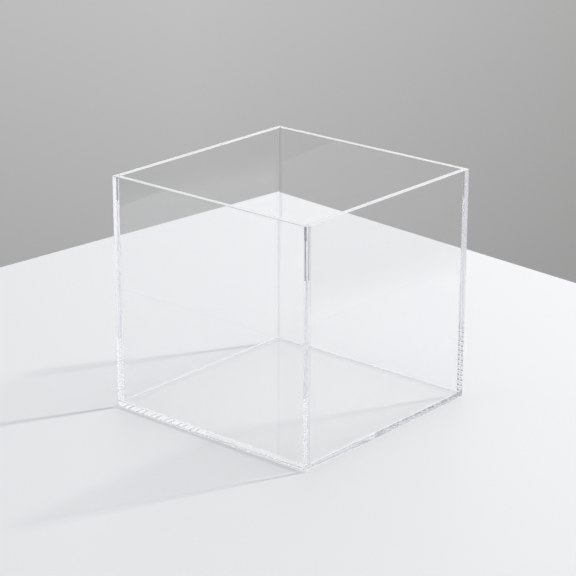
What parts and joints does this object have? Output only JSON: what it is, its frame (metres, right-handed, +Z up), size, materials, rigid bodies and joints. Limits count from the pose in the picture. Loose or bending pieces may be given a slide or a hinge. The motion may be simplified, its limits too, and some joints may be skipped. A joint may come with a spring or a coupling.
{
  "type": "acrylic organizer box",
  "caption": "Open-top square organizer box of clear polished acrylic sheet, with cemented walls on a full base, for holding and showing small things.",
  "frame": {"origin": "middle of the underside of the base, on the surface that the box stands on", "axes": "+Z up through the open top, -Y out of the front wall, -X out of the left wall"},
  "size_m": [0.13, 0.13, 0.127],
  "materials": {
    "clear_acrylic": "clear cast acrylic sheet with flame-polished edges",
    "acrylic_cement": "cured clear acrylic cement"
  },
  "bodies": {
    "root": {"base_panel": "clear_acrylic", "back_panel": "clear_acrylic", "left_panel": "clear_acrylic", "right_panel": "clear_acrylic", "front_panel": "clear_acrylic", "corner_bond_back_left": "acrylic_cement", "corner_bond_back_right": "acrylic_cement", "corner_bond_front_left": "acrylic_cement", "corner_bond_front_right": "acrylic_cement", "base_bond_back": "acrylic_cement", "base_bond_left": "acrylic_cement", "base_bond_right": "acrylic_cement", "base_bond_front": "acrylic_cement"}
  },
  "joints": []
}
